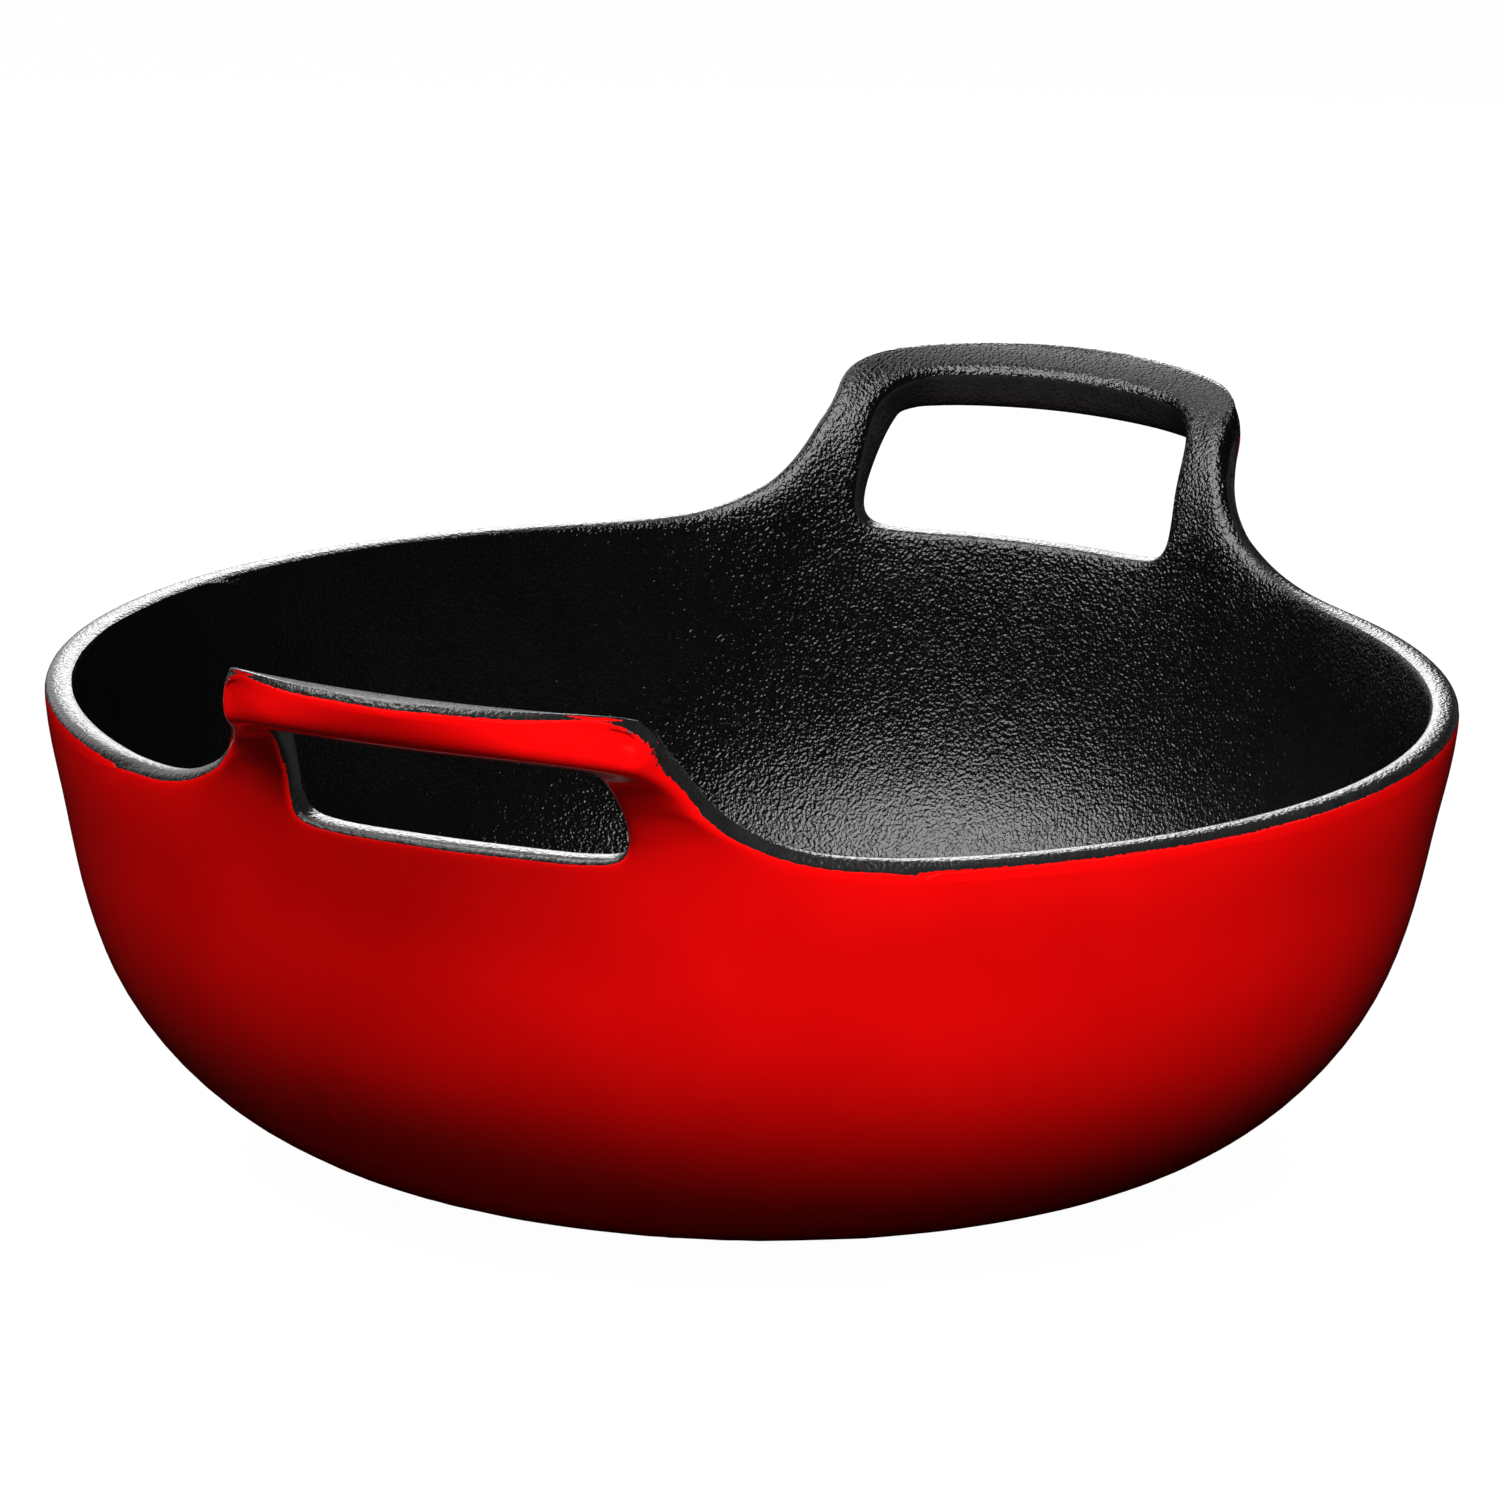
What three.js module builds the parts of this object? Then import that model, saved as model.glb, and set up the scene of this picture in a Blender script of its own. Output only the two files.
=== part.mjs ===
// An open cast iron casserole with two loop handles, enamelled in several coats.
// Millimetres, +Z up. The origin is on the table under the middle of the bowl and the handles lie along X.
// One coated surface is laid out first, as patches of four-sided cells. Each coat is a thin shell under its
// own patches, and the iron casting is what is left below all the coats.
import * as THREE from "three";

// Bowl
const RIM_RADIUS = 130;
const RIM_HEIGHT = 88.5;
const WALL = 5.8;
const WALL_FLARE = THREE.MathUtils.degToRad(11.3);
const BELLY_RADIUS = 62;
const INNER_BELLY_RADIUS = 56;
const FLOOR = 6;

// Foot ring under the base
const FOOT_SET_IN = 5;
const FOOT_WIDTH = 5;
const FOOT_HEIGHT = 3;
const FOOT_DRAFT = 0.6;
const FOOT_BARE = 0.8;

// Handle in section: it carries on from the wall, sweeps outwards and ends in a grip with a deep lip
const HANDLE_RISE = 31.5;
const HANDLE_REACH = 27;
const GRIP_LIP = 6;
const GRIP_EDGE = 1.7;
const INNER_SWEEP_LOW = 17.9;
const INNER_SWEEP_HIGH = 22;
const OUTER_SWEEP_LOW = 15.9;
const OUTER_SWEEP_HIGH = 15.4;
const UNDERSIDE_TILT = THREE.MathUtils.degToRad(14.6);

// Handle outline, measured along the sweep from the rim and sideways from the middle
const HANDLE_HALF_WIDTH = 41.8;
const HANDLE_FILLET = 25;
const GRIP_CORNER = 12;
const GRIP_ARCH = 80;
const LIP_SET_IN = 3;
const LIP_ROUND = 2.8;

// Hand opening
const SLOT_HALF_WIDTH = 32.3;
const SLOT_HEIGHT = 36;
const SLOT_CORNER_LOW = 4.5;
const SLOT_CORNER_INSIDE = 12.5;
const SLOT_CORNER_OUTSIDE = 3.5;
const SLOT_ARCH = 120;
const SLOT_TAPER = 2;

// Coats and edges
const COAT = 0.4;
const EDGE_ROUND = 2;
const EDGE_FULLNESS = 3;
const EDGE_RISE = 0.9;
const SIDE_ROUND = 3;
const SIDE_FULLNESS = 2.3;
const OUTER_WRAP = THREE.MathUtils.degToRad(60);
const INNER_WRAP = THREE.MathUtils.degToRad(50);

// Cells along each stretch of the surface
const SLOT_CELLS = 2;
const LOW_CORNER_CELLS = 1;
const UPRIGHT_CELLS = 2;
const HIGH_CORNER_CELLS = 2;
const POST_CELLS = 2;
const FILLET_CELLS = 2;
const FREE_RIM_CELLS = 7;
const UNDERSIDE_CELLS = 3;
const LIP_CELLS = 3;
const ROUND_CELLS = 2;
const BELLY_CELLS = 5;
const WALL_CELLS = 2;
const BASE_CELLS = 1;
const OUTER_WRAP_CELLS = 2;
const BARE_EDGE_CELLS = 3;
const INNER_WRAP_CELLS = 1;
const WRAP_EASE_CELLS = 1.6;

const gripCells = UNDERSIDE_CELLS + LIP_CELLS;
const gripColumns = SLOT_CELLS + HIGH_CORNER_CELLS + POST_CELLS;
const slotSideCells = LOW_CORNER_CELLS + UPRIGHT_CELLS + HIGH_CORNER_CELLS;
const handleSideCells = slotSideCells + gripCells;
const floorTop = FOOT_HEIGHT + FLOOR;
const vec2 = (x, y) => new THREE.Vector2(x, y);

// Sections

// A bowl face in section: a straight flared wall, then one belly arc down to the level of the floor.
function bowlFace(rimRadius, bellyRadius, floorHeight, handleCurve) {
  const centreHeight = floorHeight + bellyRadius;
  const tangentHeight = centreHeight - bellyRadius * Math.sin(WALL_FLARE);
  const tangentRadius = rimRadius - (RIM_HEIGHT - tangentHeight) * Math.tan(WALL_FLARE);
  const centre = vec2(tangentRadius - bellyRadius * Math.cos(WALL_FLARE), centreHeight);
  const wallLength = (RIM_HEIGHT - tangentHeight) / Math.cos(WALL_FLARE);
  const bellyPoint = (turn) => {
    const angle = THREE.MathUtils.lerp(-Math.PI / 2, -WALL_FLARE, turn);
    return vec2(centre.x + bellyRadius * Math.cos(angle), centre.y + bellyRadius * Math.sin(angle));
  };
  // Point at a height measured along the wall, from the rim: below it the wall, above it the handle.
  const at = (climb) => {
    if (climb <= 0) {
      return vec2(rimRadius + climb * Math.sin(WALL_FLARE), RIM_HEIGHT + climb * Math.cos(WALL_FLARE));
    }
    return handleCurve.getPointAt(Math.min(climb / handleLength, 1));
  };
  return { at, bellyPoint, wallLength };
}

// A handle face in section leaves the rim in line with the wall and ends at the grip.
function handleSweep(rimRadius, lowArm, end, highArm, endTilt) {
  const start = vec2(rimRadius, RIM_HEIGHT);
  const low = vec2(start.x + lowArm * Math.sin(WALL_FLARE), start.y + lowArm * Math.cos(WALL_FLARE));
  const high = vec2(end.x - highArm * Math.cos(endTilt), end.y - highArm * Math.sin(endTilt));
  return new THREE.CubicBezierCurve(start, low, high, end);
}

const gripTop = vec2(RIM_RADIUS + HANDLE_REACH, RIM_HEIGHT + HANDLE_RISE);
const lipFoot = vec2(gripTop.x, gripTop.y - GRIP_EDGE - GRIP_LIP);
const innerSweep = handleSweep(RIM_RADIUS - WALL, INNER_SWEEP_LOW, gripTop, INNER_SWEEP_HIGH, 0);
const outerSweep = handleSweep(RIM_RADIUS, OUTER_SWEEP_LOW, lipFoot, OUTER_SWEEP_HIGH, UNDERSIDE_TILT);
const handleLength = innerSweep.getLength();

const outside = bowlFace(RIM_RADIUS, BELLY_RADIUS, FOOT_HEIGHT, outerSweep);
const inside = bowlFace(RIM_RADIUS - WALL, INNER_BELLY_RADIUS, floorTop, innerSweep);

// A place on the bowl is an angle round the axis and a climb from the rim.
function onFace(face, place) {
  const section = face.at(place.climb);
  return round(section, place.angle);
}

function round(section, angle) {
  return new THREE.Vector3(section.x * Math.cos(angle), section.x * Math.sin(angle), section.y);
}

// Outlines of the handle are drawn flat: sideways from its middle, and up by the climb from the rim.
function placeOn(face, point) {
  return { angle: Math.asin(point.x / face.at(point.y).x), climb: point.y };
}

const drawnOn = (face, point) => onFace(face, placeOn(face, point));

// Outlines

// The corner arc between an upright at halfWidth and an arch whose crown is at a given climb.
function archCorner(halfWidth, crown, arch, corner) {
  const centre = vec2(halfWidth - corner, 0);
  centre.y = crown - arch + Math.sqrt((arch - corner) ** 2 - centre.x ** 2);
  return { centre, turn: Math.atan2(centre.y - (crown - arch), centre.x) };
}

const line = (from, to, cells) => {
  return Array.from({ length: cells + 1 }, (_, i) => from.clone().lerp(to, i / cells));
};

const arc = (centre, radius, start, end, cells) => {
  return line(vec2(start, 0), vec2(end, 0), cells).map(({ x: turn }) => {
    return vec2(centre.x + radius * Math.cos(turn), centre.y + radius * Math.sin(turn));
  });
};

// Joins stretches that start where the one before them ends.
const chain = (first, ...others) => first.concat(...others.map((stretch) => stretch.slice(1)));

// Half of the hand opening, drawn inset into the metal: sill, side and top, split at the corners' middles.
// On the outer face the opening narrows towards its top by the taper, and its upper corners are tighter.
function slotOutline(face, inset) {
  const half = SLOT_HALF_WIDTH + inset;
  const [taper, corner] = face === outside ? [SLOT_TAPER, SLOT_CORNER_OUTSIDE] : [0, SLOT_CORNER_INSIDE];
  const low = SLOT_CORNER_LOW + inset;
  const high = corner + inset;
  const arch = SLOT_ARCH + inset;
  const crown = SLOT_HEIGHT + inset;
  const { centre, turn } = archCorner(half - taper, crown, arch, high);
  const lean = Math.atan2(taper, centre.y - low);
  const lowCentre = vec2(half - low, low - inset);
  const sillCorner = arc(lowCentre, low, -Math.PI / 2, -Math.PI / 4, LOW_CORNER_CELLS);
  const lowCorner = arc(lowCentre, low, -Math.PI / 4, lean, LOW_CORNER_CELLS);
  const highCorner = arc(centre, high, lean, turn / 2, HIGH_CORNER_CELLS);
  const topCorner = arc(centre, high, turn / 2, turn, HIGH_CORNER_CELLS);
  const top = arc(vec2(0, crown - arch), arch, turn, Math.PI / 2, SLOT_CELLS);
  return {
    sill: chain(line(vec2(0, -inset), sillCorner[0], SLOT_CELLS), sillCorner),
    side: chain(lowCorner, line(lowCorner[LOW_CORNER_CELLS], highCorner[0], UPRIGHT_CELLS), highCorner),
    top: chain(topCorner, top).reverse(),
  };
}

// Half of the handle's own outline, inset into the metal: half the foot fillet, the side and the top.
function handleOutline(inset) {
  const half = HANDLE_HALF_WIDTH - inset;
  const fillet = HANDLE_FILLET + inset;
  const corner = GRIP_CORNER - inset;
  const arch = GRIP_ARCH - inset;
  const crown = handleLength - inset;
  const { centre, turn } = archCorner(half, crown, arch, corner);
  const filletCentre = vec2(HANDLE_HALF_WIDTH + HANDLE_FILLET, HANDLE_FILLET);
  const filletMiddle = 1.25 * Math.PI;
  const foot = new THREE.Path();
  foot.absarc(filletCentre.x, filletCentre.y, fillet, filletMiddle, 1.5 * Math.PI, false);
  const side = new THREE.Path();
  side.absarc(filletCentre.x, filletCentre.y, fillet, filletMiddle, Math.PI, true);
  side.lineTo(half, centre.y);
  side.absarc(centre.x, centre.y, corner, 0, turn / 3, false);
  const top = new THREE.Path();
  top.absarc(centre.x, centre.y, corner, turn / 3, turn, false);
  top.absarc(0, crown - arch, arch, turn, Math.PI / 2, false);
  return {
    foot: foot.getSpacedPoints(FILLET_CELLS),
    side: side.getSpacedPoints(handleSideCells),
    top: top.getSpacedPoints(gripColumns).reverse(),
  };
}

// The free rim between a fillet's end and the middle of the bowl's side, as places.
function freeRim(face, filletEnd, inset) {
  const start = placeOn(face, filletEnd).angle;
  const places = [];
  for (let i = 1; i <= FREE_RIM_CELLS; i += 1) {
    places.push({ angle: THREE.MathUtils.lerp(start, Math.PI / 2, i / FREE_RIM_CELLS), climb: -inset });
  }
  return places;
}

// Grids

// Fills the space between four edges: low and high run sideways, left and right run upwards.
function fillPatch(low, high, left, right) {
  const across = low.length - 1;
  const up = left.length - 1;
  return left.map((_, row) => low.map((__, column) => {
    const u = column / across;
    const v = row / up;
    const point = left[row].clone().multiplyScalar(1 - u).addScaledVector(right[row], u);
    point.addScaledVector(low[column], 1 - v).addScaledVector(high[column], v);
    point.addScaledVector(low[0], -(1 - u) * (1 - v)).addScaledVector(low[across], -u * (1 - v));
    point.addScaledVector(high[0], -(1 - u) * v).addScaledVector(high[across], -u * v);
    return point;
  }));
}

// Half a handle as two patches: the post beside the hand opening and the half grip above it.
function halfHandle(face) {
  const slot = slotOutline(face, EDGE_ROUND);
  const edge = handleOutline(EDGE_ROUND);
  const shoulder = edge.side[slotSideCells];
  const slotCorner = slot.side[slotSideCells];
  const postFoot = line(slot.side[0], edge.side[0], POST_CELLS);
  const postHead = line(slotCorner, shoulder, POST_CELLS);
  const post = fillPatch(postFoot, postHead, slot.side, edge.side.slice(0, slotSideCells + 1));
  const gripFoot = slot.top.concat(postHead.slice(1));
  const gripMiddle = line(slot.top[0], edge.top[0], gripCells);
  const grip = fillPatch(gripFoot, edge.top, gripMiddle, edge.side.slice(slotSideCells));
  return { post, grip };
}

const outerHandle = halfHandle(outside);
const innerHandle = halfHandle(inside);

// The outer side of the grip: the underside rises to the lip's rounded foot, and the lip stands on that.
function gripOutside() {
  const rows = outerHandle.grip;
  const crest = handleOutline(0).top;
  return rows.map((row, i) => row.map((_, column) => {
    const start = rows[0][column];
    const top = rows[gripCells][column];
    const footSideways = rows[UNDERSIDE_CELLS][column].x * (1 - LIP_SET_IN / HANDLE_HALF_WIDTH);
    const underside = (climb) => {
      const share = (climb - start.y) / (top.y - start.y);
      return drawnOn(outside, vec2(THREE.MathUtils.lerp(start.x, footSideways, share), climb));
    };
    const roundStart = top.y - LIP_ROUND;
    if (i <= UNDERSIDE_CELLS) {
      return underside(THREE.MathUtils.lerp(start.y, roundStart, i / UNDERSIDE_CELLS));
    }
    const lipTop = inside.at(crest[column].y);
    lipTop.y -= GRIP_EDGE;
    const lip = (share) => {
      const section = outside.at(top.y).lerp(lipTop, share);
      return round(section, Math.asin(THREE.MathUtils.lerp(footSideways, top.x, share) / section.x));
    };
    const roundEnd = LIP_ROUND / outside.at(top.y).distanceTo(lipTop);
    const foot = new THREE.QuadraticBezierCurve3(underside(roundStart), lip(0), lip(roundEnd));
    const intoLip = i - UNDERSIDE_CELLS;
    if (intoLip <= ROUND_CELLS) {
      return foot.getPoint(intoLip / ROUND_CELLS);
    }
    return lip(THREE.MathUtils.lerp(roundEnd, 1, (intoLip - ROUND_CELLS) / (LIP_CELLS - ROUND_CELLS)));
  }));
}

// The surface

const vertices = [];
const cells = [];
const known = new Map();

// Points that fall on the same spot are one vertex, so neighbouring patches join up.
function vertex(point) {
  const key = point.toArray().map((value) => Math.round(value * 1000)).join(" ");
  if (!known.has(key)) {
    known.set(key, vertices.length);
    vertices.push(point);
  }
  return known.get(key);
}

// Adds a grid of points as cells of one coat. Rows run upwards and columns turn with the angle.
function addGrid(grid, coat, facesIn) {
  for (let i = 0; i + 1 < grid.length; i += 1) {
    for (let j = 0; j + 1 < grid[i].length; j += 1) {
      const corners = [grid[i][j], grid[i][j + 1], grid[i + 1][j + 1], grid[i + 1][j]].map(vertex);
      cells.push({ corners: facesIn ? corners.reverse() : corners, coat });
    }
  }
}

const mirrored = (point) => new THREE.Vector3(point.x, -point.y, point.z);
const turned = (point) => new THREE.Vector3(-point.x, -point.y, point.z);

// The four quarters of the dish: each half of the handle at +X, and both again turned to -X.
const quarters = [
  { place: (point) => point.clone(), flips: false, end: "front" },
  { place: mirrored, flips: true, end: "front" },
  { place: turned, flips: false, end: "rear" },
  { place: (point) => turned(mirrored(point)), flips: true, end: "rear" },
];

function addQuarters(grid, coatOf, facesIn) {
  for (const quarter of quarters) {
    addGrid(grid.map((row) => row.map(quarter.place)), coatOf(quarter.end), facesIn !== quarter.flips);
  }
}

// Places along the top of one quarter of the wall, from the middle of the slot to the side of the bowl.
function wallTop(face, inset) {
  const slot = slotOutline(face, inset);
  const edge = handleOutline(inset);
  const post = line(slot.side[0], edge.side[0], POST_CELLS);
  const drawn = slot.sill.concat(post.slice(1), edge.foot.slice(1));
  return drawn.map((point) => placeOn(face, point)).concat(freeRim(face, edge.foot[FILLET_CELLS], inset));
}

// Rows of the bowl that are the same all the way round, then the wall up to its top.
function bowlGrid(face, sections) {
  const tops = wallTop(face, EDGE_ROUND);
  const grid = sections.map((section) => tops.map((top) => round(section, top.angle)));
  for (let i = 1; i <= WALL_CELLS; i += 1) {
    grid.push(tops.map((top) => {
      const climb = THREE.MathUtils.lerp(-face.wallLength, top.climb, i / WALL_CELLS);
      return onFace(face, { angle: top.angle, climb });
    }));
  }
  return grid;
}

const belly = (face) => {
  return Array.from({ length: BELLY_CELLS + 1 }, (_, i) => face.bellyPoint(i / BELLY_CELLS));
};

// The foot ring stands inside the belly. The base is flat within it, and only its lowest part is left bare.
const footRadius = outside.bellyPoint(0).x - FOOT_SET_IN;
const footInner = footRadius - FOOT_WIDTH;
const baseSections = line(vec2(0, FOOT_HEIGHT), vec2(footInner - FOOT_DRAFT, FOOT_HEIGHT), BASE_CELLS);
baseSections.push(vec2(footInner, FOOT_BARE));
const bareSections = [
  vec2(footInner, FOOT_BARE),
  vec2(footInner + FOOT_DRAFT, 0),
  vec2(footRadius - FOOT_DRAFT, 0),
  vec2(footRadius, FOOT_BARE),
];
const outerSections = [vec2(footRadius, FOOT_BARE)].concat(belly(outside));
const floorSections = line(vec2(0, floorTop), inside.bellyPoint(0), BASE_CELLS);
const innerSections = floorSections.concat(belly(inside).slice(1));

const ringGrid = (sections) => {
  return sections.map((section) => wallTop(outside, EDGE_ROUND).map((top) => round(section, top.angle)));
};
addQuarters(ringGrid(baseSections), () => "base_enamel", false);
addQuarters(ringGrid(bareSections), () => "bare", false);
addQuarters(bowlGrid(outside, outerSections), () => "outer_enamel", false);
addQuarters(bowlGrid(inside, innerSections), () => "inner_enamel", true);

const draw = (face, grid) => grid.map((row) => row.map((point) => drawnOn(face, point)));
const outerGrip = gripOutside();
addQuarters(draw(outside, outerHandle.post), () => "outer_enamel", false);
addQuarters(outerGrip, () => "outer_enamel", false);
addQuarters(draw(inside, innerHandle.post), () => "inner_enamel", true);
addQuarters(draw(inside, innerHandle.grip), () => "inner_enamel", true);

// A rounded edge joins the outer and inner faces. Its section is a full, flattened oval. The enamels wrap
// over the edge from both sides, as far as each step's profile says, and leave the ground coat between.
function edgeStrip(outerEdge, innerEdge, crest, profiles) {
  return outerEdge.map((outer, i) => {
    const inner = innerEdge[i];
    const middle = outer.clone().add(inner).multiplyScalar(0.5);
    const across = outer.clone().sub(inner).multiplyScalar(0.5);
    const up = crest[i].clone().sub(middle);
    up.addScaledVector(across, -up.dot(across) / across.lengthSq());
    const { rise, fullness, outerWrap, innerWrap } = profiles[i];
    up.setLength(Math.min(rise, across.length() * EDGE_RISE));
    const [start, bareStart] = [vec2(0, 0), vec2(outerWrap, 0)];
    const [bareEnd, end] = [vec2(Math.PI - innerWrap, 0), vec2(Math.PI, 0)];
    const turns = chain(
      line(start, bareStart, OUTER_WRAP_CELLS),
      line(bareStart, bareEnd, BARE_EDGE_CELLS),
      line(bareEnd, end, INNER_WRAP_CELLS),
    );
    return turns.map(({ x: turn }) => {
      const sideways = Math.sign(Math.cos(turn)) * Math.abs(Math.cos(turn)) ** (2 / fullness);
      const upwards = Math.abs(Math.sin(turn)) ** (2 / fullness);
      return middle.clone().addScaledVector(across, sideways).addScaledVector(up, upwards);
    });
  });
}

// Turns a list of strips, one for each step along an edge, into rows that run from outside to inside.
const asRows = (strips) => strips[0].map((_, k) => strips.map((strip) => strip[k]));

const between = (outer, inner) => outer.map((point, i) => point.clone().add(inner[i]).multiplyScalar(0.5));

// Half of the edge of the hand opening, from the middle of its sill to the middle of its top.
function slotEdge() {
  const path = (face, inset) => {
    const outline = slotOutline(face, inset);
    const drawn = outline.sill.concat(outline.side.slice(1), outline.top.slice(0, -1).reverse());
    return drawn.map((point) => drawnOn(face, point));
  };
  const crest = between(path(outside, 0), path(inside, 0));
  const wraps = { outerWrap: OUTER_WRAP, innerWrap: INNER_WRAP };
  const profiles = crest.map(() => ({ rise: EDGE_ROUND, fullness: EDGE_FULLNESS, ...wraps }));
  return edgeStrip(path(outside, EDGE_ROUND), path(inside, EDGE_ROUND), crest, profiles);
}

// A quarter of the rim's edge, from the middle of the grip down the handle and along the free rim.
function rimEdge() {
  const path = (face, inset) => {
    const outline = handleOutline(inset);
    const drawn = outline.top.concat(outline.side.slice(0, -1).reverse(), outline.foot.slice(1));
    const handle = drawn.map((point) => drawnOn(face, point));
    const rim = freeRim(face, outline.foot[FILLET_CELLS], inset);
    return handle.concat(rim.map((place) => onFace(face, place)));
  };
  const outer = path(outside, EDGE_ROUND);
  const innerCrest = path(inside, 0);
  const crest = between(path(outside, 0), innerCrest);
  for (let column = 0; column <= gripColumns; column += 1) {
    outer[column] = outerGrip[gripCells][column];
    crest[column] = innerCrest[column];
  }
  for (let row = 0; row < gripCells; row += 1) {
    outer[gripColumns + gripCells - row] = outerGrip[row][gripColumns];
  }
  // The handle's sides are rounder. Along the grip neither enamel wraps, along the free rim only the inner.
  const footEnd = gripColumns + handleSideCells + FILLET_CELLS;
  const ease = (cells) => THREE.MathUtils.smoothstep(cells + 1, 0, WRAP_EASE_CELLS);
  const profiles = outer.map((_, i) => {
    const side = ease(Math.min(i - gripColumns, footEnd - i));
    return {
      rise: THREE.MathUtils.lerp(EDGE_ROUND, SIDE_ROUND, side),
      fullness: THREE.MathUtils.lerp(EDGE_FULLNESS, SIDE_FULLNESS, side),
      outerWrap: OUTER_WRAP * side,
      innerWrap: INNER_WRAP * ease(i - gripColumns),
    };
  });
  return edgeStrip(outer, path(inside, EDGE_ROUND), crest, profiles);
}

const addEdge = (strips, coatOf) => {
  const rows = asRows(strips);
  const bareRows = OUTER_WRAP_CELLS + BARE_EDGE_CELLS;
  addQuarters(rows.slice(0, OUTER_WRAP_CELLS + 1), () => "outer_enamel", false);
  addQuarters(rows.slice(OUTER_WRAP_CELLS, bareRows + 1), coatOf, false);
  addQuarters(rows.slice(bareRows), () => "inner_enamel", false);
};
addEdge(slotEdge(), (end) => `${end}_slot_ground_coat`);
addEdge(rimEdge(), () => "rim_ground_coat");

// Solids

// The way out of the surface at each vertex, from the cells around it.
function outwardNormals() {
  const normals = vertices.map(() => new THREE.Vector3());
  for (const { corners } of cells) {
    const [a, b, c, d] = corners.map((corner) => vertices[corner]);
    const normal = c.clone().sub(a).cross(d.clone().sub(b)).normalize();
    corners.forEach((corner) => normals[corner].add(normal));
  }
  return normals.map((normal) => normal.normalize());
}

// The iron's own surface lies one coat below the coated surface, except where the foot is bare.
function ironVertices() {
  const normals = outwardNormals();
  const coated = new Set(cells.filter((cell) => cell.coat !== "bare").flatMap((cell) => cell.corners));
  return vertices.map((point, i) => {
    return coated.has(i) ? point.clone().addScaledVector(normals[i], -COAT) : point.clone();
  });
}

// Each cell is split along its shorter diagonal. Cells that meet the axis have only three corners.
function triangles(cell) {
  const [a, b, c, d] = cell.corners;
  const first = vertices[a].distanceTo(vertices[c]) <= vertices[b].distanceTo(vertices[d]);
  const pair = first ? [[a, b, c], [a, c, d]] : [[a, b, d], [b, c, d]];
  return pair.filter(([i, j, k]) => i !== j && j !== k && k !== i);
}

function geometryOf(faces) {
  const geometry = new THREE.BufferGeometry();
  const positions = faces.flatMap((face) => face.flatMap((point) => point.toArray()));
  geometry.setAttribute("position", new THREE.Float32BufferAttribute(positions, 3));
  geometry.computeVertexNormals();
  return geometry;
}

const iron = ironVertices();

function castingGeometry() {
  return geometryOf(cells.flatMap(triangles).map((face) => face.map((corner) => iron[corner])));
}

// A wall through the thickness of a coat, split the same way from both of the coats that meet there.
function edgeWall(a, b) {
  const corners = [vertices[b], vertices[a], iron[a], iron[b]];
  const pair = a < b ? [[0, 1, 2], [0, 2, 3]] : [[0, 1, 3], [1, 2, 3]];
  return pair.map((face) => face.map((corner) => corners[corner]));
}

// A coat has its finished face, its face on the iron, and a wall along its own edge between the two.
function coatGeometry(coat) {
  const faces = cells.filter((cell) => cell.coat === coat).flatMap(triangles);
  const edges = new Set(faces.flatMap(([a, b, c]) => [`${a} ${b}`, `${b} ${c}`, `${c} ${a}`]));
  const shell = [];
  for (const face of faces) {
    shell.push(face.map((corner) => vertices[corner]));
    shell.push(face.map((corner) => iron[corner]).reverse());
  }
  for (const edge of edges) {
    const [a, b] = edge.split(" ").map(Number);
    if (!edges.has(`${b} ${a}`)) {
      shell.push(...edgeWall(a, b));
    }
  }
  return geometryOf(shell);
}

const finishes = {
  casting: { color: 0x3a3a3c, roughness: 0.75, metalness: 0.6 },
  outer_enamel: { color: 0xd40808, roughness: 0.12, metalness: 0 },
  inner_enamel: { color: 0x16171a, roughness: 0.6, metalness: 0 },
  base_enamel: { color: 0x16171a, roughness: 0.5, metalness: 0 },
  rim_ground_coat: { color: 0x4a4c4f, roughness: 0.45, metalness: 0 },
  front_slot_ground_coat: { color: 0x4a4c4f, roughness: 0.45, metalness: 0 },
  rear_slot_ground_coat: { color: 0x4a4c4f, roughness: 0.45, metalness: 0 },
};

const casserole = new THREE.Group();
for (const [name, finish] of Object.entries(finishes)) {
  const geometry = name === "casting" ? castingGeometry() : coatGeometry(name);
  const piece = new THREE.Mesh(geometry, new THREE.MeshStandardMaterial(finish));
  piece.name = name;
  casserole.add(piece);
}

export default casserole;
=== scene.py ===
# %% [markdown]
# # Dressing a cast iron casserole
# The real dish is one iron casting that is dipped, sprayed and fired: a dark ground coat all over, a matt
# black enamel inside and a red gloss enamel outside. The CAD frame has the casting and each coat as solids
# with flat facets. This lesson turns them into one smooth skin and cuts that skin into the coats again.

import math

import bpy
import numpy as np
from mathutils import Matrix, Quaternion, Vector
from mathutils.kdtree import KDTree


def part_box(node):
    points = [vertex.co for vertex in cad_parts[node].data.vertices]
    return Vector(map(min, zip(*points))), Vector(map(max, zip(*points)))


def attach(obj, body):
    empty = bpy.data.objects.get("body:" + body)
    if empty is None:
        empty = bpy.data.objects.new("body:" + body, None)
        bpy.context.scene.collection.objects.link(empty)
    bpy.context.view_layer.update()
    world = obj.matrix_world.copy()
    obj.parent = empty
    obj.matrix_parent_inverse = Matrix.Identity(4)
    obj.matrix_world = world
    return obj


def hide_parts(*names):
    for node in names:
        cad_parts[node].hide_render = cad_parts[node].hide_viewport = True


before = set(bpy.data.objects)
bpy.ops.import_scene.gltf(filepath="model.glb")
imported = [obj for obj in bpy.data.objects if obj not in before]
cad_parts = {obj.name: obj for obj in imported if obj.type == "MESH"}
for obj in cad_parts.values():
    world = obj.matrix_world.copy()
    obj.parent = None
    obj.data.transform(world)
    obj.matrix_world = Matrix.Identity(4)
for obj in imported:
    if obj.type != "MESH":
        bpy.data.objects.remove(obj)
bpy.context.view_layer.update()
scene = bpy.context.scene
scene.view_settings.view_transform = "Standard"
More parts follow.
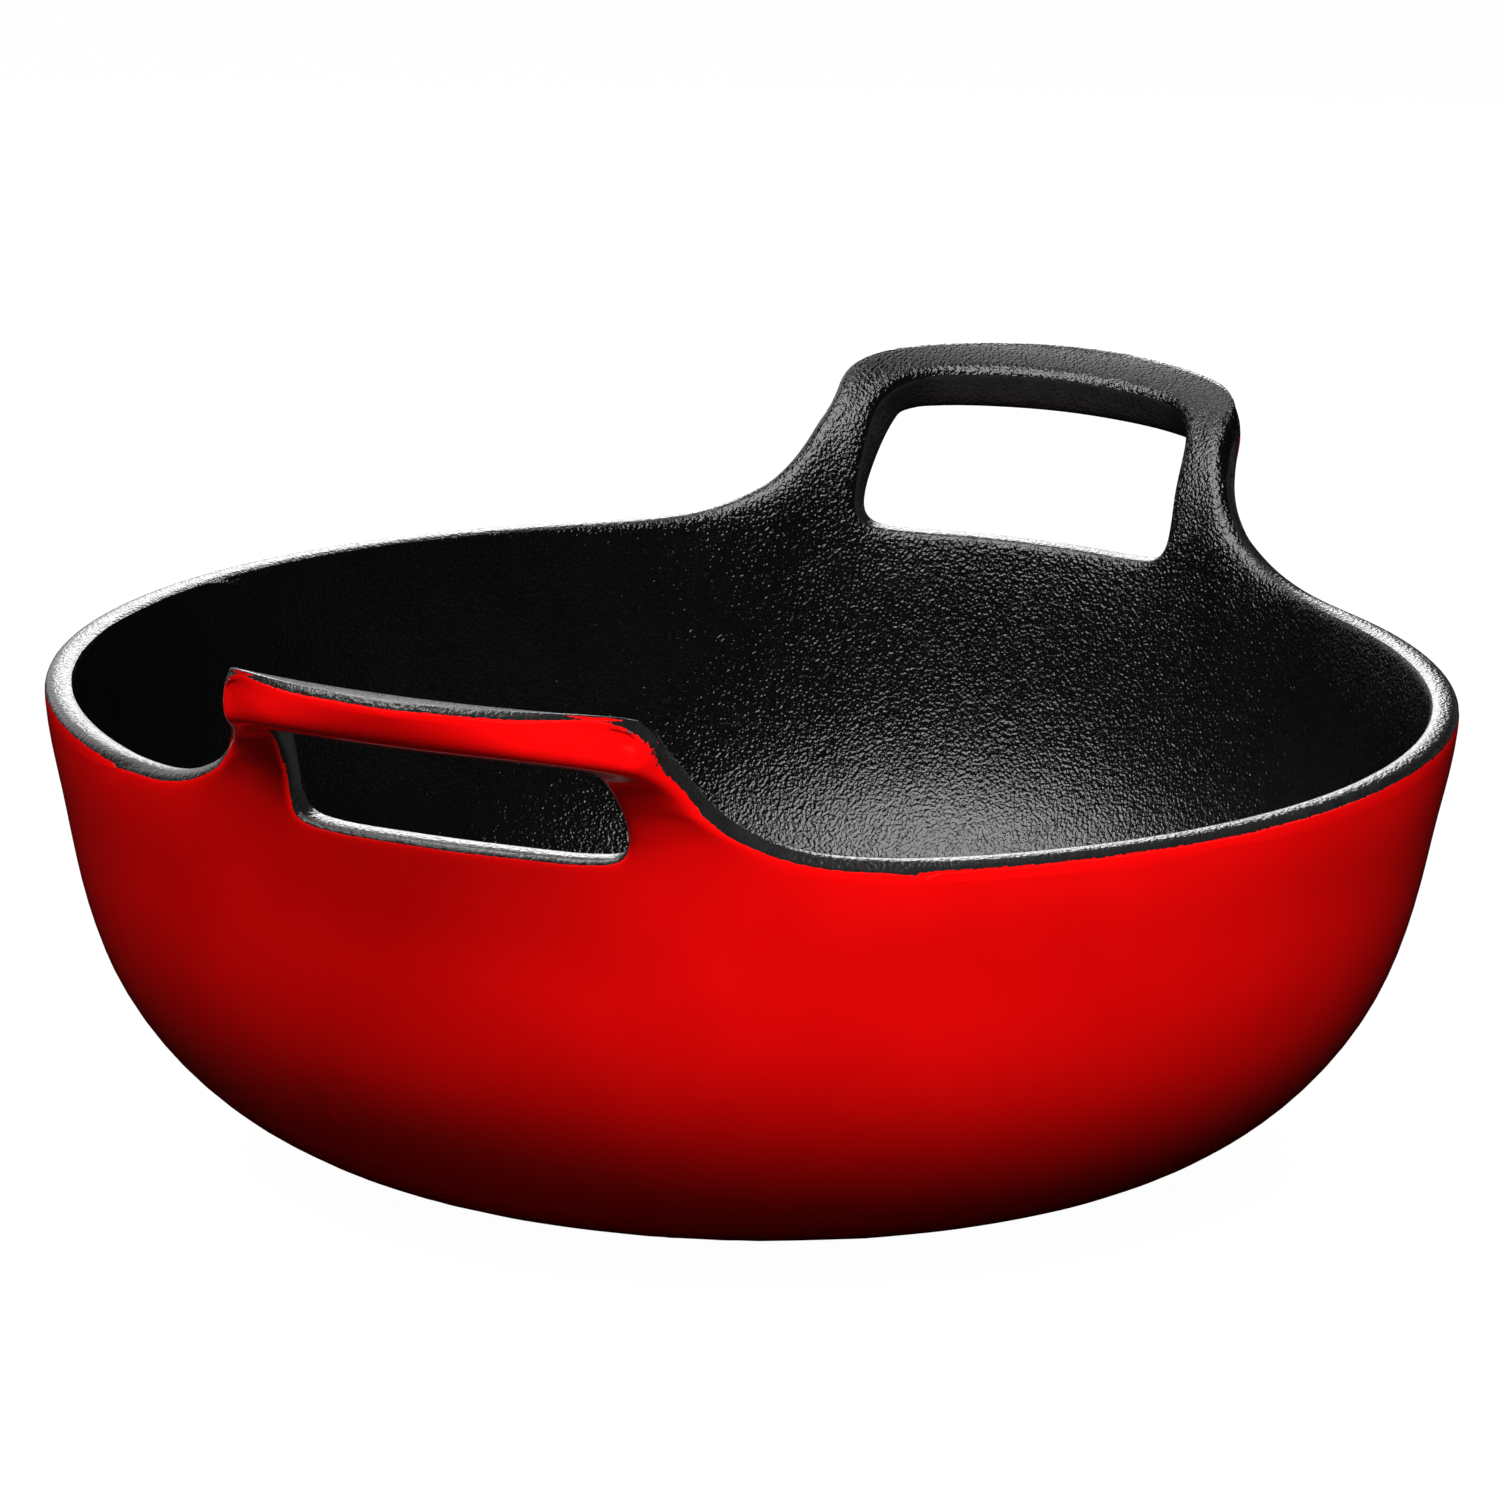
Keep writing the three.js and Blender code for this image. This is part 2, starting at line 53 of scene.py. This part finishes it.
print("CAD nodes:", ", ".join(sorted(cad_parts)))

# %% [markdown]
# ## The camera
# The photograph was taken with a long lens from a little above the rim, so the rim is a flat ellipse. The
# camera turns round the middle of the rim. The photograph is also tipped by a degree, so the camera rolls.
# Azimuth and elevation could be set as Euler angles too, but a direction can be used again for the lamps.

# %% Place the camera
RIM_MIDDLE = Vector((0, 0, 0.0885))
CAMERA_DISTANCE = 2.34
CAMERA_AZIMUTH = math.radians(-156.3)
CAMERA_ELEVATION = math.radians(14.244)
CAMERA_PITCH = math.radians(-0.306)
CAMERA_ROLL = math.radians(1.12)
SENSOR_MM = 36
LENS_MM = 306.5


def direction(azimuth, elevation):
    """A unit vector from the dish towards a place in the studio."""
    level = math.cos(elevation)
    return Vector((level * math.cos(azimuth), level * math.sin(azimuth), math.sin(elevation)))


towards_camera = direction(CAMERA_AZIMUTH, CAMERA_ELEVATION)
bpy.ops.object.camera_add(location=RIM_MIDDLE + towards_camera * CAMERA_DISTANCE)
camera = bpy.context.object
camera.rotation_mode = "QUATERNION"
aimed = (-towards_camera).to_track_quat("-Z", "Y")
pitched = aimed @ Quaternion((1, 0, 0), CAMERA_PITCH)
camera.rotation_quaternion = pitched @ Quaternion((0, 0, 1), CAMERA_ROLL)
camera.data.sensor_width = SENSOR_MM
camera.data.lens = LENS_MM
scene.camera = camera
print("Camera at", [round(x, 3) for x in camera.location])

# %% [markdown]
# ## Tools for selecting
# An operator acts on whatever is selected. These helpers select objects or points by a rule, as a hand would
# with a click, so the later steps can say what they want in one line.

# %% Select objects and points
def pick(*objects):
    """Selects these objects only. The last one becomes the active one."""
    bpy.ops.object.select_all(action="DESELECT")
    for thing in objects:
        thing.select_set(True)
    bpy.context.view_layer.objects.active = objects[-1]


def edit(piece, mode="VERT"):
    """Opens a piece in edit mode with nothing selected."""
    pick(piece)
    bpy.ops.object.mode_set(mode="EDIT")
    bpy.ops.mesh.select_mode(type=mode)
    bpy.ops.mesh.select_all(action="DESELECT")


def leave_edit():
    """Goes back to object mode, which also writes the edits to the mesh."""
    bpy.ops.object.mode_set(mode="OBJECT")


def select_points(piece, wanted):
    """Selects the points for which wanted is true and opens the piece in edit mode."""
    edit(piece)
    leave_edit()
    for point, want in zip(piece.data.vertices, wanted):
        point.select = bool(want)
    bpy.ops.object.mode_set(mode="EDIT")


def place_of_points(piece):
    """All points of a mesh as rows of x, y and z."""
    flat = np.empty(len(piece.data.vertices) * 3)
    piece.data.vertices.foreach_get("co", flat)
    return flat.reshape(-1, 3)


print("Selecting is ready")

# %% [markdown]
# ## Copies of the coats
# Each coat in the CAD is a thin closed shell. Only its finished face is wanted here, so a copy is merged and
# every point that lies on the iron is deleted. What is left are open sheets that meet edge to edge. The
# material of each sheet remembers which coat it was.

# %% Copy the finished face of each coat
COATS = {
    "outer_enamel": "red_gloss_enamel",
    "inner_enamel": "black_matt_enamel",
    "base_enamel": "black_base_enamel",
    "rim_ground_coat": "grey_ground_coat",
    "front_slot_ground_coat": "grey_ground_coat",
    "rear_slot_ground_coat": "grey_ground_coat",
}
TOUCHING = 1e-5
FINISH_NAMES = [*dict.fromkeys(COATS.values()), "bare_cast_iron"]
finishes = {name: bpy.data.materials.new(name) for name in FINISH_NAMES}


def merge(piece, distance):
    """Joins points that lie on the same spot."""
    edit(piece)
    bpy.ops.mesh.select_all(action="SELECT")
    bpy.ops.mesh.remove_doubles(threshold=distance)
    leave_edit()


def copy_of(source, name):
    """A copy with its own mesh, free of the frame's labels."""
    pick(source)
    bpy.ops.object.duplicate()
    piece = bpy.context.object
    for label in [key for key in piece.keys() if key.startswith("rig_")]:
        del piece[label]
    piece.parent = None
    piece.name = name
    return piece


def tree_of(points):
    """A lookup of the nearest point."""
    tree = KDTree(len(points))
    for index, point in enumerate(points):
        tree.insert(point, index)
    tree.balance()
    return tree


iron_points = tree_of(place_of_points(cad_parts["casting"]))
sheets = []
for node, finish in COATS.items():
    sheet = copy_of(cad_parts[node], "sheet_" + node)
    merge(sheet, TOUCHING)
    on_iron = [iron_points.find(point.co)[2] < TOUCHING for point in sheet.data.vertices]
    select_points(sheet, on_iron)
    bpy.ops.mesh.delete(type="VERT")
    leave_edit()
    sheet.data.materials.clear()
    sheet.data.materials.append(finishes[finish])
    sheets.append(sheet)
    print(node, "finished face:", len(sheet.data.polygons), "triangles")

# %% [markdown]
# ## One closed skin
# The coats could be smoothed one by one, but then gaps would open between them. So the sheets are joined and
# merged first. The skin is then open only at the foot ring, and bridging its two open edges closes it.

# %% Join the sheets and close the foot
pick(*sheets)
bpy.ops.object.join()
skin = bpy.context.object
skin.name = "skin"
merge(skin, TOUCHING)
edit(skin, "EDGE")
bpy.ops.mesh.select_non_manifold(
    use_wire=False, use_boundary=True, use_multi_face=False, use_non_contiguous=False, use_verts=False
)
bpy.ops.mesh.bridge_edge_loops(number_cuts=2, interpolation="LINEAR")
leave_edit()
print("Skin:", len(skin.data.vertices), "points,", len(skin.data.polygons), "faces")

# %% [markdown]
# ## The bare foot ring
# The ring that the dish stands on is ground flat after firing, so it is bare iron. The two new loops of the
# bridge are pulled down to the table and a little towards the edges, which gives the ring sloped sides.

# %% Pull the foot down to the table
FOOT_DRAFT = 0.0006
points = place_of_points(skin)
radius = np.hypot(points[:, 0], points[:, 1])
foot_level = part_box("base_enamel")[0].z
in_foot = points[:, 2] < foot_level + TOUCHING
foot_edges = sorted({round(r, 5) for r in radius[in_foot]})
for ring, stands_at in ((1, foot_edges[0] + FOOT_DRAFT), (2, foot_edges[-1] - FOOT_DRAFT)):
    select_points(skin, in_foot & (np.abs(radius - foot_edges[ring]) < TOUCHING))
    spread = stands_at / foot_edges[ring]
    bpy.ops.transform.resize(value=(spread, spread, 0), center_override=(0, 0, 0))
    leave_edit()

skin.data.materials.append(finishes["bare_cast_iron"])
BARE = len(skin.data.materials) - 1
foot_points = place_of_points(skin)[:, 2] < foot_level + TOUCHING
for face in skin.data.polygons:
    if all(foot_points[corner] for corner in face.vertices):
        face.material_index = BARE
print("Foot ring from", foot_edges[0], "to", foot_edges[-1], "m")

# %% [markdown]
# ## From facets to a smooth casting
# The CAD points lie on the real curves, and only the flat triangles between them are rough. Subdividing with
# full smoothness puts each new point on an arc that follows the normals at both ends of its edge. A
# Subdivision Surface would be smooth too, but it draws a closed form in and the dish would lose size. A soft
# smoothing after each round takes out what ripple is left. The foot is then pressed flat again.

# %% Round off the skin
ROUNDS = 2
FAIRING = 0.5
edit(skin, "FACE")
bpy.ops.mesh.select_all(action="SELECT")
bpy.ops.mesh.normals_make_consistent(inside=False)
for _ in range(ROUNDS):
    bpy.ops.mesh.subdivide(number_cuts=1, smoothness=1.0)
    bpy.ops.mesh.vertices_smooth(factor=FAIRING, repeat=1)
leave_edit()


def foot_face(piece):
    """True for the points of the face that stands on the table."""
    half_way_up = foot_level * 0.5
    return place_of_points(piece)[:, 2] < half_way_up


select_points(skin, foot_face(skin))
bpy.ops.transform.resize(value=(1, 1, 0), center_override=(0, 0, 0))
leave_edit()
print("Rounded skin:", len(skin.data.polygons), "faces")

# %% [markdown]
# ## The lips of the grips
# Each grip ends in a lip that is turned down for the fingers, and thick enamel rounds it off further. Many
# small smoothing steps on its outer face do the same, and leave the inner face and the bowl alone.

# %% Fair the lips
GRIP_LEVEL = 0.098
LIP_FACES_OUT = 0.15
LIP_FAIRINGS = 30


def outwards(point):
    """The level direction from the dish's axis to a point of a mesh."""
    return Vector((point.co.x, point.co.y, 0)).normalized()


lip = [point.co.z > GRIP_LEVEL and point.normal.dot(outwards(point)) > LIP_FACES_OUT
       for point in skin.data.vertices]
select_points(skin, lip)
bpy.ops.mesh.vertices_smooth(factor=FAIRING, repeat=LIP_FAIRINGS)
leave_edit()
print("Lips:", sum(lip), "points")

# %% [markdown]
# ## The iron inside
# The casting is the same skin, one coat thinner. Its points move in along their normals, except on the foot
# ring, which is bare and stands on the table.

# %% Shrink a copy of the skin into the casting
COAT = 0.0004


def wear_one_finish(piece, name):
    """Gives every face of a piece the same finish."""
    piece.data.materials.clear()
    piece.data.materials.append(finishes[name])
    for face in piece.data.polygons:
        face.material_index = 0


casting = copy_of(skin, "iron_casting")
select_points(casting, ~foot_face(casting))
bpy.ops.transform.shrink_fatten(value=-COAT)
leave_edit()
wear_one_finish(casting, "bare_cast_iron")
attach(casting, "root")
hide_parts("casting")
print("Casting box, mm:", (place_of_points(casting).max(0) * 1000).round(2))

# %% [markdown]
# ## Where the red spray lands
# The red is sprayed on from outside, over the ground coat. It lands on what faces outwards or hangs over, and
# it misses what faces up or inwards. Well below the rim it covers everything. Each point of the skin keeps a
# number for that, and the finishes below use it to draw the border of the red. The number is kept as an
# attribute, which stays with its points when the skin is cut.

# %% Note how well each point faces the spray
LOWEST_MISS = 0.085
MISSED_ABOVE = 2.4
CAUGHT_BELOW = 0.6
RED_HOLDS = 0.45
sprayed = []
for point in skin.data.vertices:
    up = point.normal.z
    caught = point.normal.dot(outwards(point)) - MISSED_ABOVE * max(up, 0) + CAUGHT_BELOW * max(-up, 0)
    sprayed.append(caught if point.co.z > LOWEST_MISS else 1.0)
skin.data.attributes.new("sprayed", "FLOAT", "POINT").data.foreach_set("value", sprayed)
print("Sprayed points:", sum(value > RED_HOLDS for value in sprayed), "of", len(sprayed))

# %% [markdown]
# ## The skin becomes coats again
# Separating by material gives one open sheet for each finish. The ground coat then falls apart into the rim
# and the two hand openings, because they don't touch. The sheet under the bare foot isn't needed: the iron
# is there.

# %% Cut the skin into coats
NEAR_AXIS = 0.05
edit(skin, "FACE")
bpy.ops.mesh.separate(type="MATERIAL")
leave_edit()
cut = {thing.data.materials[thing.data.polygons[0].material_index].name: thing
       for thing in bpy.context.selected_objects}
bpy.data.objects.remove(cut.pop("bare_cast_iron"))
edit(cut["grey_ground_coat"], "FACE")
bpy.ops.mesh.separate(type="LOOSE")
leave_edit()
ground = {}
for thing in bpy.context.selected_objects:
    middle = place_of_points(thing).mean(0)
    end = "rim" if abs(middle[0]) < NEAR_AXIS else "front_slot" if middle[0] > 0 else "rear_slot"
    ground[end] = thing
coats = {
    "outer_enamel": cut["red_gloss_enamel"],
    "inner_enamel": cut["black_matt_enamel"],
    "base_enamel": cut["black_base_enamel"],
    "rim_ground_coat": ground["rim"],
    "front_slot_ground_coat": ground["front_slot"],
    "rear_slot_ground_coat": ground["rear_slot"],
}
print("Coats:", ", ".join(coats))

# %% [markdown]
# ## The thickness of the coats
# Fired enamel is about 0.4 mm thick. Solidify grows each sheet inwards onto the iron, so the outside stays
# where it is. The wall is a trace thinner than the coat, which keeps it from lying in the same place as the
# iron.

# %% Give each coat its wall
WALL = COAT * 0.98
CREASE = math.radians(50)
PIECE_NAMES = {
    "outer_enamel": "red_outside",
    "inner_enamel": "black_inside",
    "base_enamel": "black_underside",
    "rim_ground_coat": "rim_band",
    "front_slot_ground_coat": "front_slot_band",
    "rear_slot_ground_coat": "rear_slot_band",
}
for node, piece in coats.items():
    piece.name = PIECE_NAMES[node]
    wear_one_finish(piece, COATS[node])
    wall = piece.modifiers.new("Thickness", "SOLIDIFY")
    wall.thickness = WALL
    wall.offset = -1
    pick(piece)
    bpy.ops.object.modifier_apply(modifier="Thickness")
    bpy.ops.object.shade_smooth_by_angle(angle=CREASE)
    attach(piece, "root")
    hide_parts(node)
    print(piece.name, len(piece.data.polygons), "faces")
pick(casting)
bpy.ops.object.shade_smooth_by_angle(angle=CREASE)

# %% [markdown]
# ## Node trees in short
# Every finish is procedural and reads Object coordinates, so it sits on the dish and not on the picture. A
# noise scale is then in grains to the metre. Nodes could be dragged and linked by hand, and this class does
# the same with one call for each node.

# %% A short way to write node trees
class Tree:
    """A material's node tree, with short calls to add nodes and to link them."""

    def __init__(self, material):
        material.use_nodes = True
        self.nodes = material.node_tree.nodes
        self.links = material.node_tree.links
        self.shader = self.nodes["Principled BSDF"]
        self.place = self.add("ShaderNodeTexCoord").outputs["Object"]

    def add(self, kind, inputs=None, **settings):
        node = self.nodes.new(kind)
        for name, value in settings.items():
            setattr(node, name, value)
        for name, value in (inputs or {}).items():
            self.feed(node.inputs[name], value)
        return node

    def feed(self, socket, value):
        if isinstance(value, bpy.types.NodeSocket):
            self.links.new(value, socket)
        else:
            socket.default_value = value

    def set(self, **sockets):
        for name, value in sockets.items():
            self.feed(self.shader.inputs[name.replace("_", " ")], value)

    def noise(self, scale, detail):
        values = {"Vector": self.place, "Scale": scale, "Detail": detail}
        return self.add("ShaderNodeTexNoise", values).outputs["Fac"]

    def attribute(self, name):
        return self.add("ShaderNodeAttribute", attribute_name=name).outputs["Fac"]

    def spread(self, value, low, high, to_low=0.0, to_high=1.0):
        values = {"Value": value, "From Min": low, "From Max": high, "To Min": to_low, "To Max": to_high}
        return self.add("ShaderNodeMapRange", values).outputs["Result"]

    def math(self, operation, first, second):
        node = self.add("ShaderNodeMath", operation=operation)
        self.feed(node.inputs[0], first)
        self.feed(node.inputs[1], second)
        return node.outputs[0]

    def blend(self, factor, first, second):
        node = self.add("ShaderNodeMix", data_type="RGBA")
        for socket, value in zip((0, 6, 7), (factor, first, second)):
            self.feed(node.inputs[socket], value)
        return node.outputs[2]

    def blend_vectors(self, factor, first, second):
        node = self.add("ShaderNodeMix", data_type="VECTOR")
        for socket, value in zip((0, 4, 5), (factor, first, second)):
            self.feed(node.inputs[socket], value)
        return node.outputs[1]

    def bump(self, height, depth, strength=1.0):
        values = {"Height": height, "Distance": depth, "Strength": strength}
        return self.add("ShaderNodeBump", values).outputs["Normal"]


print("Node trees are ready")

# %% [markdown]
# ## Red gloss enamel over the ground coat
# The red is smooth and deep, with a faint orange peel. Where the spray thins out, the dark, grainy ground
# coat shows, and the border between them is ragged. It could be painted by hand, but the number that each
# point keeps for the spray, with some noise added, gives it all round. The bands of ground coat wear the
# same finish, so the border runs on over the cut between the pieces.

# %% Red gloss enamel and ground coat
RED_DEEP = (0.66, 0.0012, 0.0014, 1)
RED_BRIGHT = (0.74, 0.0018, 0.002, 1)
GROUND_DARK = (0.003, 0.003, 0.003, 1)
GROUND_LIGHT = (0.012, 0.012, 0.012, 1)
GROUND_ROUGHNESS = 0.26
RED_ROUGHNESS = 0.1
RAGGED = 0.12
FEATHER = 0.05


def red_over_ground(tree):
    """The sprayed red and, where the spray missed, the grainy ground coat."""
    specks = tree.noise(1100, detail=3)
    ragged = tree.spread(specks, low=0.3, high=0.7, to_low=-RAGGED, to_high=RAGGED)
    reach = tree.math("ADD", tree.attribute("sprayed"), ragged)
    cover = tree.spread(reach, low=RED_HOLDS, high=RED_HOLDS + FEATHER)
    clouds = tree.spread(tree.noise(28, detail=3), low=0.35, high=0.65)
    red = tree.blend(clouds, RED_DEEP, RED_BRIGHT)
    ground = tree.blend(tree.noise(300, detail=3), GROUND_DARK, GROUND_LIGHT)
    grain = tree.bump(tree.noise(1300, detail=2), depth=0.00025)
    peel = tree.bump(tree.noise(260, detail=2), depth=0.00002, strength=0.5)
    tree.set(
        Base_Color=tree.blend(cover, ground, red),
        Roughness=tree.spread(cover, low=0, high=1, to_low=GROUND_ROUGHNESS, to_high=RED_ROUGHNESS),
        Normal=tree.blend_vectors(cover, grain, peel),
    )


for name in ("red_gloss_enamel", "grey_ground_coat"):
    coat_tree = Tree(finishes[name])
    red_over_ground(coat_tree)
    print(name, len(coat_tree.nodes), "nodes")

# %% [markdown]
# ## Black matt enamel
# The inside is as black as soot, with a grain like fine leather that holds a little oil. A lamp shows on it
# as hundreds of small sparks. The colour stays almost flat, and a deep bump of fine noise under a fairly
# glossy surface makes the sparks.

# %% Black matt enamel
BLACK_DARK = (0.0008, 0.0008, 0.0008, 1)
BLACK_LIGHT = (0.002, 0.002, 0.002, 1)
black = Tree(finishes["black_matt_enamel"])
black.set(
    Base_Color=black.blend(black.noise(60, detail=3), BLACK_DARK, BLACK_LIGHT),
    Roughness=0.16,
    Normal=black.bump(black.noise(1500, detail=1), depth=0.0003),
)
print("Black enamel:", len(black.nodes), "nodes")

# %% [markdown]
# ## Underside and bare iron
# Under the bowl the enamel is a plain satin black. The foot ring is ground iron: grey, dull and finely
# pitted. Neither shows in the photograph, so both are kept simple.

# %% Base enamel and bare iron
BASE_DARK = (0.014, 0.014, 0.015, 1)
BASE_LIGHT = (0.024, 0.024, 0.025, 1)
base = Tree(finishes["black_base_enamel"])
base.set(
    Base_Color=base.blend(base.noise(60, detail=3), BASE_DARK, BASE_LIGHT),
    Roughness=0.45,
    Normal=base.bump(base.noise(500, detail=2), depth=0.0001, strength=0.5),
)
IRON_DARK = (0.10, 0.10, 0.105, 1)
IRON_LIGHT = (0.2, 0.2, 0.205, 1)
iron = Tree(finishes["bare_cast_iron"])
iron.set(
    Base_Color=iron.blend(iron.noise(400, detail=4), IRON_DARK, IRON_LIGHT),
    Metallic=0.8,
    Roughness=0.55,
    Normal=iron.bump(iron.noise(900, detail=3), depth=0.00008, strength=0.6),
)
print("Base enamel:", len(base.nodes), "nodes, iron:", len(iron.nodes), "nodes")

# %% [markdown]
# ## White floor
# The photograph is cut out on pure white. The floor is white to the camera and in reflections, but it sends
# almost no light onto the dish, because Light Path tells these rays apart. So the lower half of the bowl can
# fall into shade, as it does in the photograph. A plain white floor would light it up from below.

# %% Floor
FLOOR_RADIUS = 6
FLOOR_GREY = (0.025, 0.025, 0.025, 1)
FLOOR_GLOW = 0.98
WHITE = (1, 1, 1, 1)
bpy.ops.mesh.primitive_circle_add(vertices=96, radius=FLOOR_RADIUS, fill_type="NGON", location=(0, 0, 0))
floor = bpy.context.object
floor.name = "studio_floor"
paper = Tree(bpy.data.materials.new("white_paper"))
path = paper.add("ShaderNodeLightPath").outputs
seen = paper.math("MAXIMUM", path["Is Camera Ray"], path["Is Glossy Ray"])
seen = paper.math("MAXIMUM", seen, path["Is Transmission Ray"])
paper.set(
    Base_Color=FLOOR_GREY,
    Roughness=1.0,
    Emission_Color=WHITE,
    Emission_Strength=paper.math("MULTIPLY", seen, FLOOR_GLOW),
)
floor.data.materials.append(bpy.data.materials["white_paper"])
print("Floor:", FLOOR_RADIUS, "m in radius")

# %% [markdown]
# ## White world
# The world is the backdrop behind the dish. Like the floor it is white to the camera and in reflections, and
# nearly dark to everything else. It has no material, so its few nodes are linked one by one.

# %% World
WORLD_LIGHT = 0.02
world = bpy.data.worlds.new("studio")
scene.world = world
world.use_nodes = True
sky = world.node_tree
backdrop = sky.nodes["Background"]
backdrop.inputs["Color"].default_value = WHITE
sky_path = sky.nodes.new("ShaderNodeLightPath").outputs
either = sky.nodes.new("ShaderNodeMath")
either.operation = "MAXIMUM"
sky.links.new(sky_path["Is Camera Ray"], either.inputs[0])
sky.links.new(sky_path["Is Glossy Ray"], either.inputs[1])
level = sky.nodes.new("ShaderNodeMapRange")
level.inputs["To Min"].default_value = WORLD_LIGHT
sky.links.new(either.outputs[0], level.inputs["Value"])
sky.links.new(level.outputs["Result"], backdrop.inputs["Strength"])
print("World:", len(sky.nodes), "nodes")

# %% [markdown]
# ## Black cards
# The enamel shows that the dish stood among dark things: it has no pale veil anywhere. A photographer puts
# black cards round a shiny object for that. Here one lies on the table and one is part of a dome that is
# open at the back, where the rim gets its light line. Only reflections can see them.

# %% Black cards
TABLE_CARD_RADIUS = 2
TABLE_CARD_LIFT = 0.0003
DOME_RADIUS = 3.2
DOME_FOOT = -0.05
DOME_TURN = math.radians(22)
DOME_REACH = math.radians(155)
FELT_BLACK = (0.002, 0.002, 0.002, 1)
felt = Tree(bpy.data.materials.new("black_felt"))
felt.set(Base_Color=FELT_BLACK, Roughness=1.0, Specular_IOR_Level=0.0)


def black_card(card, name):
    """Makes a mesh a card that shows in reflections only."""
    card.name = name
    card.data.materials.append(bpy.data.materials["black_felt"])
    card.visible_camera = False
    card.visible_diffuse = False
    card.visible_shadow = False
    card.visible_transmission = False


bpy.ops.mesh.primitive_circle_add(
    vertices=96, radius=TABLE_CARD_RADIUS, fill_type="NGON", location=(0, 0, TABLE_CARD_LIFT)
)
black_card(bpy.context.object, "table_card")

bpy.ops.mesh.primitive_uv_sphere_add(segments=96, ring_count=48, radius=DOME_RADIUS, location=(0, 0, 0))
dome = bpy.context.object
dome_middle = direction(CAMERA_AZIMUTH + DOME_TURN, 0)
open_part = [outwards(point).dot(dome_middle) < math.cos(DOME_REACH) or point.co.z < DOME_FOOT
             for point in dome.data.vertices]
select_points(dome, open_part)
bpy.ops.mesh.delete(type="VERT")
leave_edit()
black_card(dome, "front_card")
print("Cards: table_card, front_card with", len(dome.data.polygons), "faces")

# %% [markdown]
# ## Lamps
# A real softbox gives shading and highlights at once. In Blender a lamp can be hidden from one kind of ray,
# so the two can be set apart. Two lamps shape the red from the right and from the left and leave no
# highlight. A third gives highlights only, the sparks on the black grain. A fourth behind the dish draws the
# light line on the rim and the grip, and light linking keeps it off the inside, as a flag on a stand does.

# %% Lamps
def softbox(name, turn, elevation, distance, size, power):
    """A square lamp. Its turn is counted from the camera, to the right, in degrees."""
    azimuth = CAMERA_AZIMUTH + math.radians(turn)
    towards = direction(azimuth, math.radians(elevation))
    bpy.ops.object.light_add(type="AREA", location=RIM_MIDDLE + towards * distance)
    lamp = bpy.context.object
    lamp.name = name
    lamp.rotation_mode = "QUATERNION"
    lamp.rotation_quaternion = towards.to_track_quat("Z", "Y")
    lamp.data.size = size
    lamp.data.energy = power
    return lamp


def keep_off(lamp, piece):
    """Light linking: the lamp leaves this piece dark."""
    left_out = bpy.data.collections.new(lamp.name + "_flag")
    left_out.objects.link(piece)
    lamp.light_linking.receiver_collection = left_out
    left_out.collection_objects[0].light_linking.link_state = "EXCLUDE"


key = softbox("key_softbox", turn=20, elevation=42, distance=0.72, size=0.4, power=9.8)
key.visible_glossy = False
left = softbox("left_softbox", turn=-50, elevation=55, distance=0.76, size=0.5, power=9.2)
left.visible_glossy = False
sheen = softbox("sheen_softbox", turn=-63, elevation=56, distance=0.8, size=0.8, power=14)
sheen.visible_diffuse = False
back = softbox("back_softbox", turn=-178, elevation=18, distance=0.9, size=0.35, power=2.3)
keep_off(back, coats["inner_enamel"])
print("Lamps:", ", ".join(lamp.name for lamp in (key, left, sheen, back)))
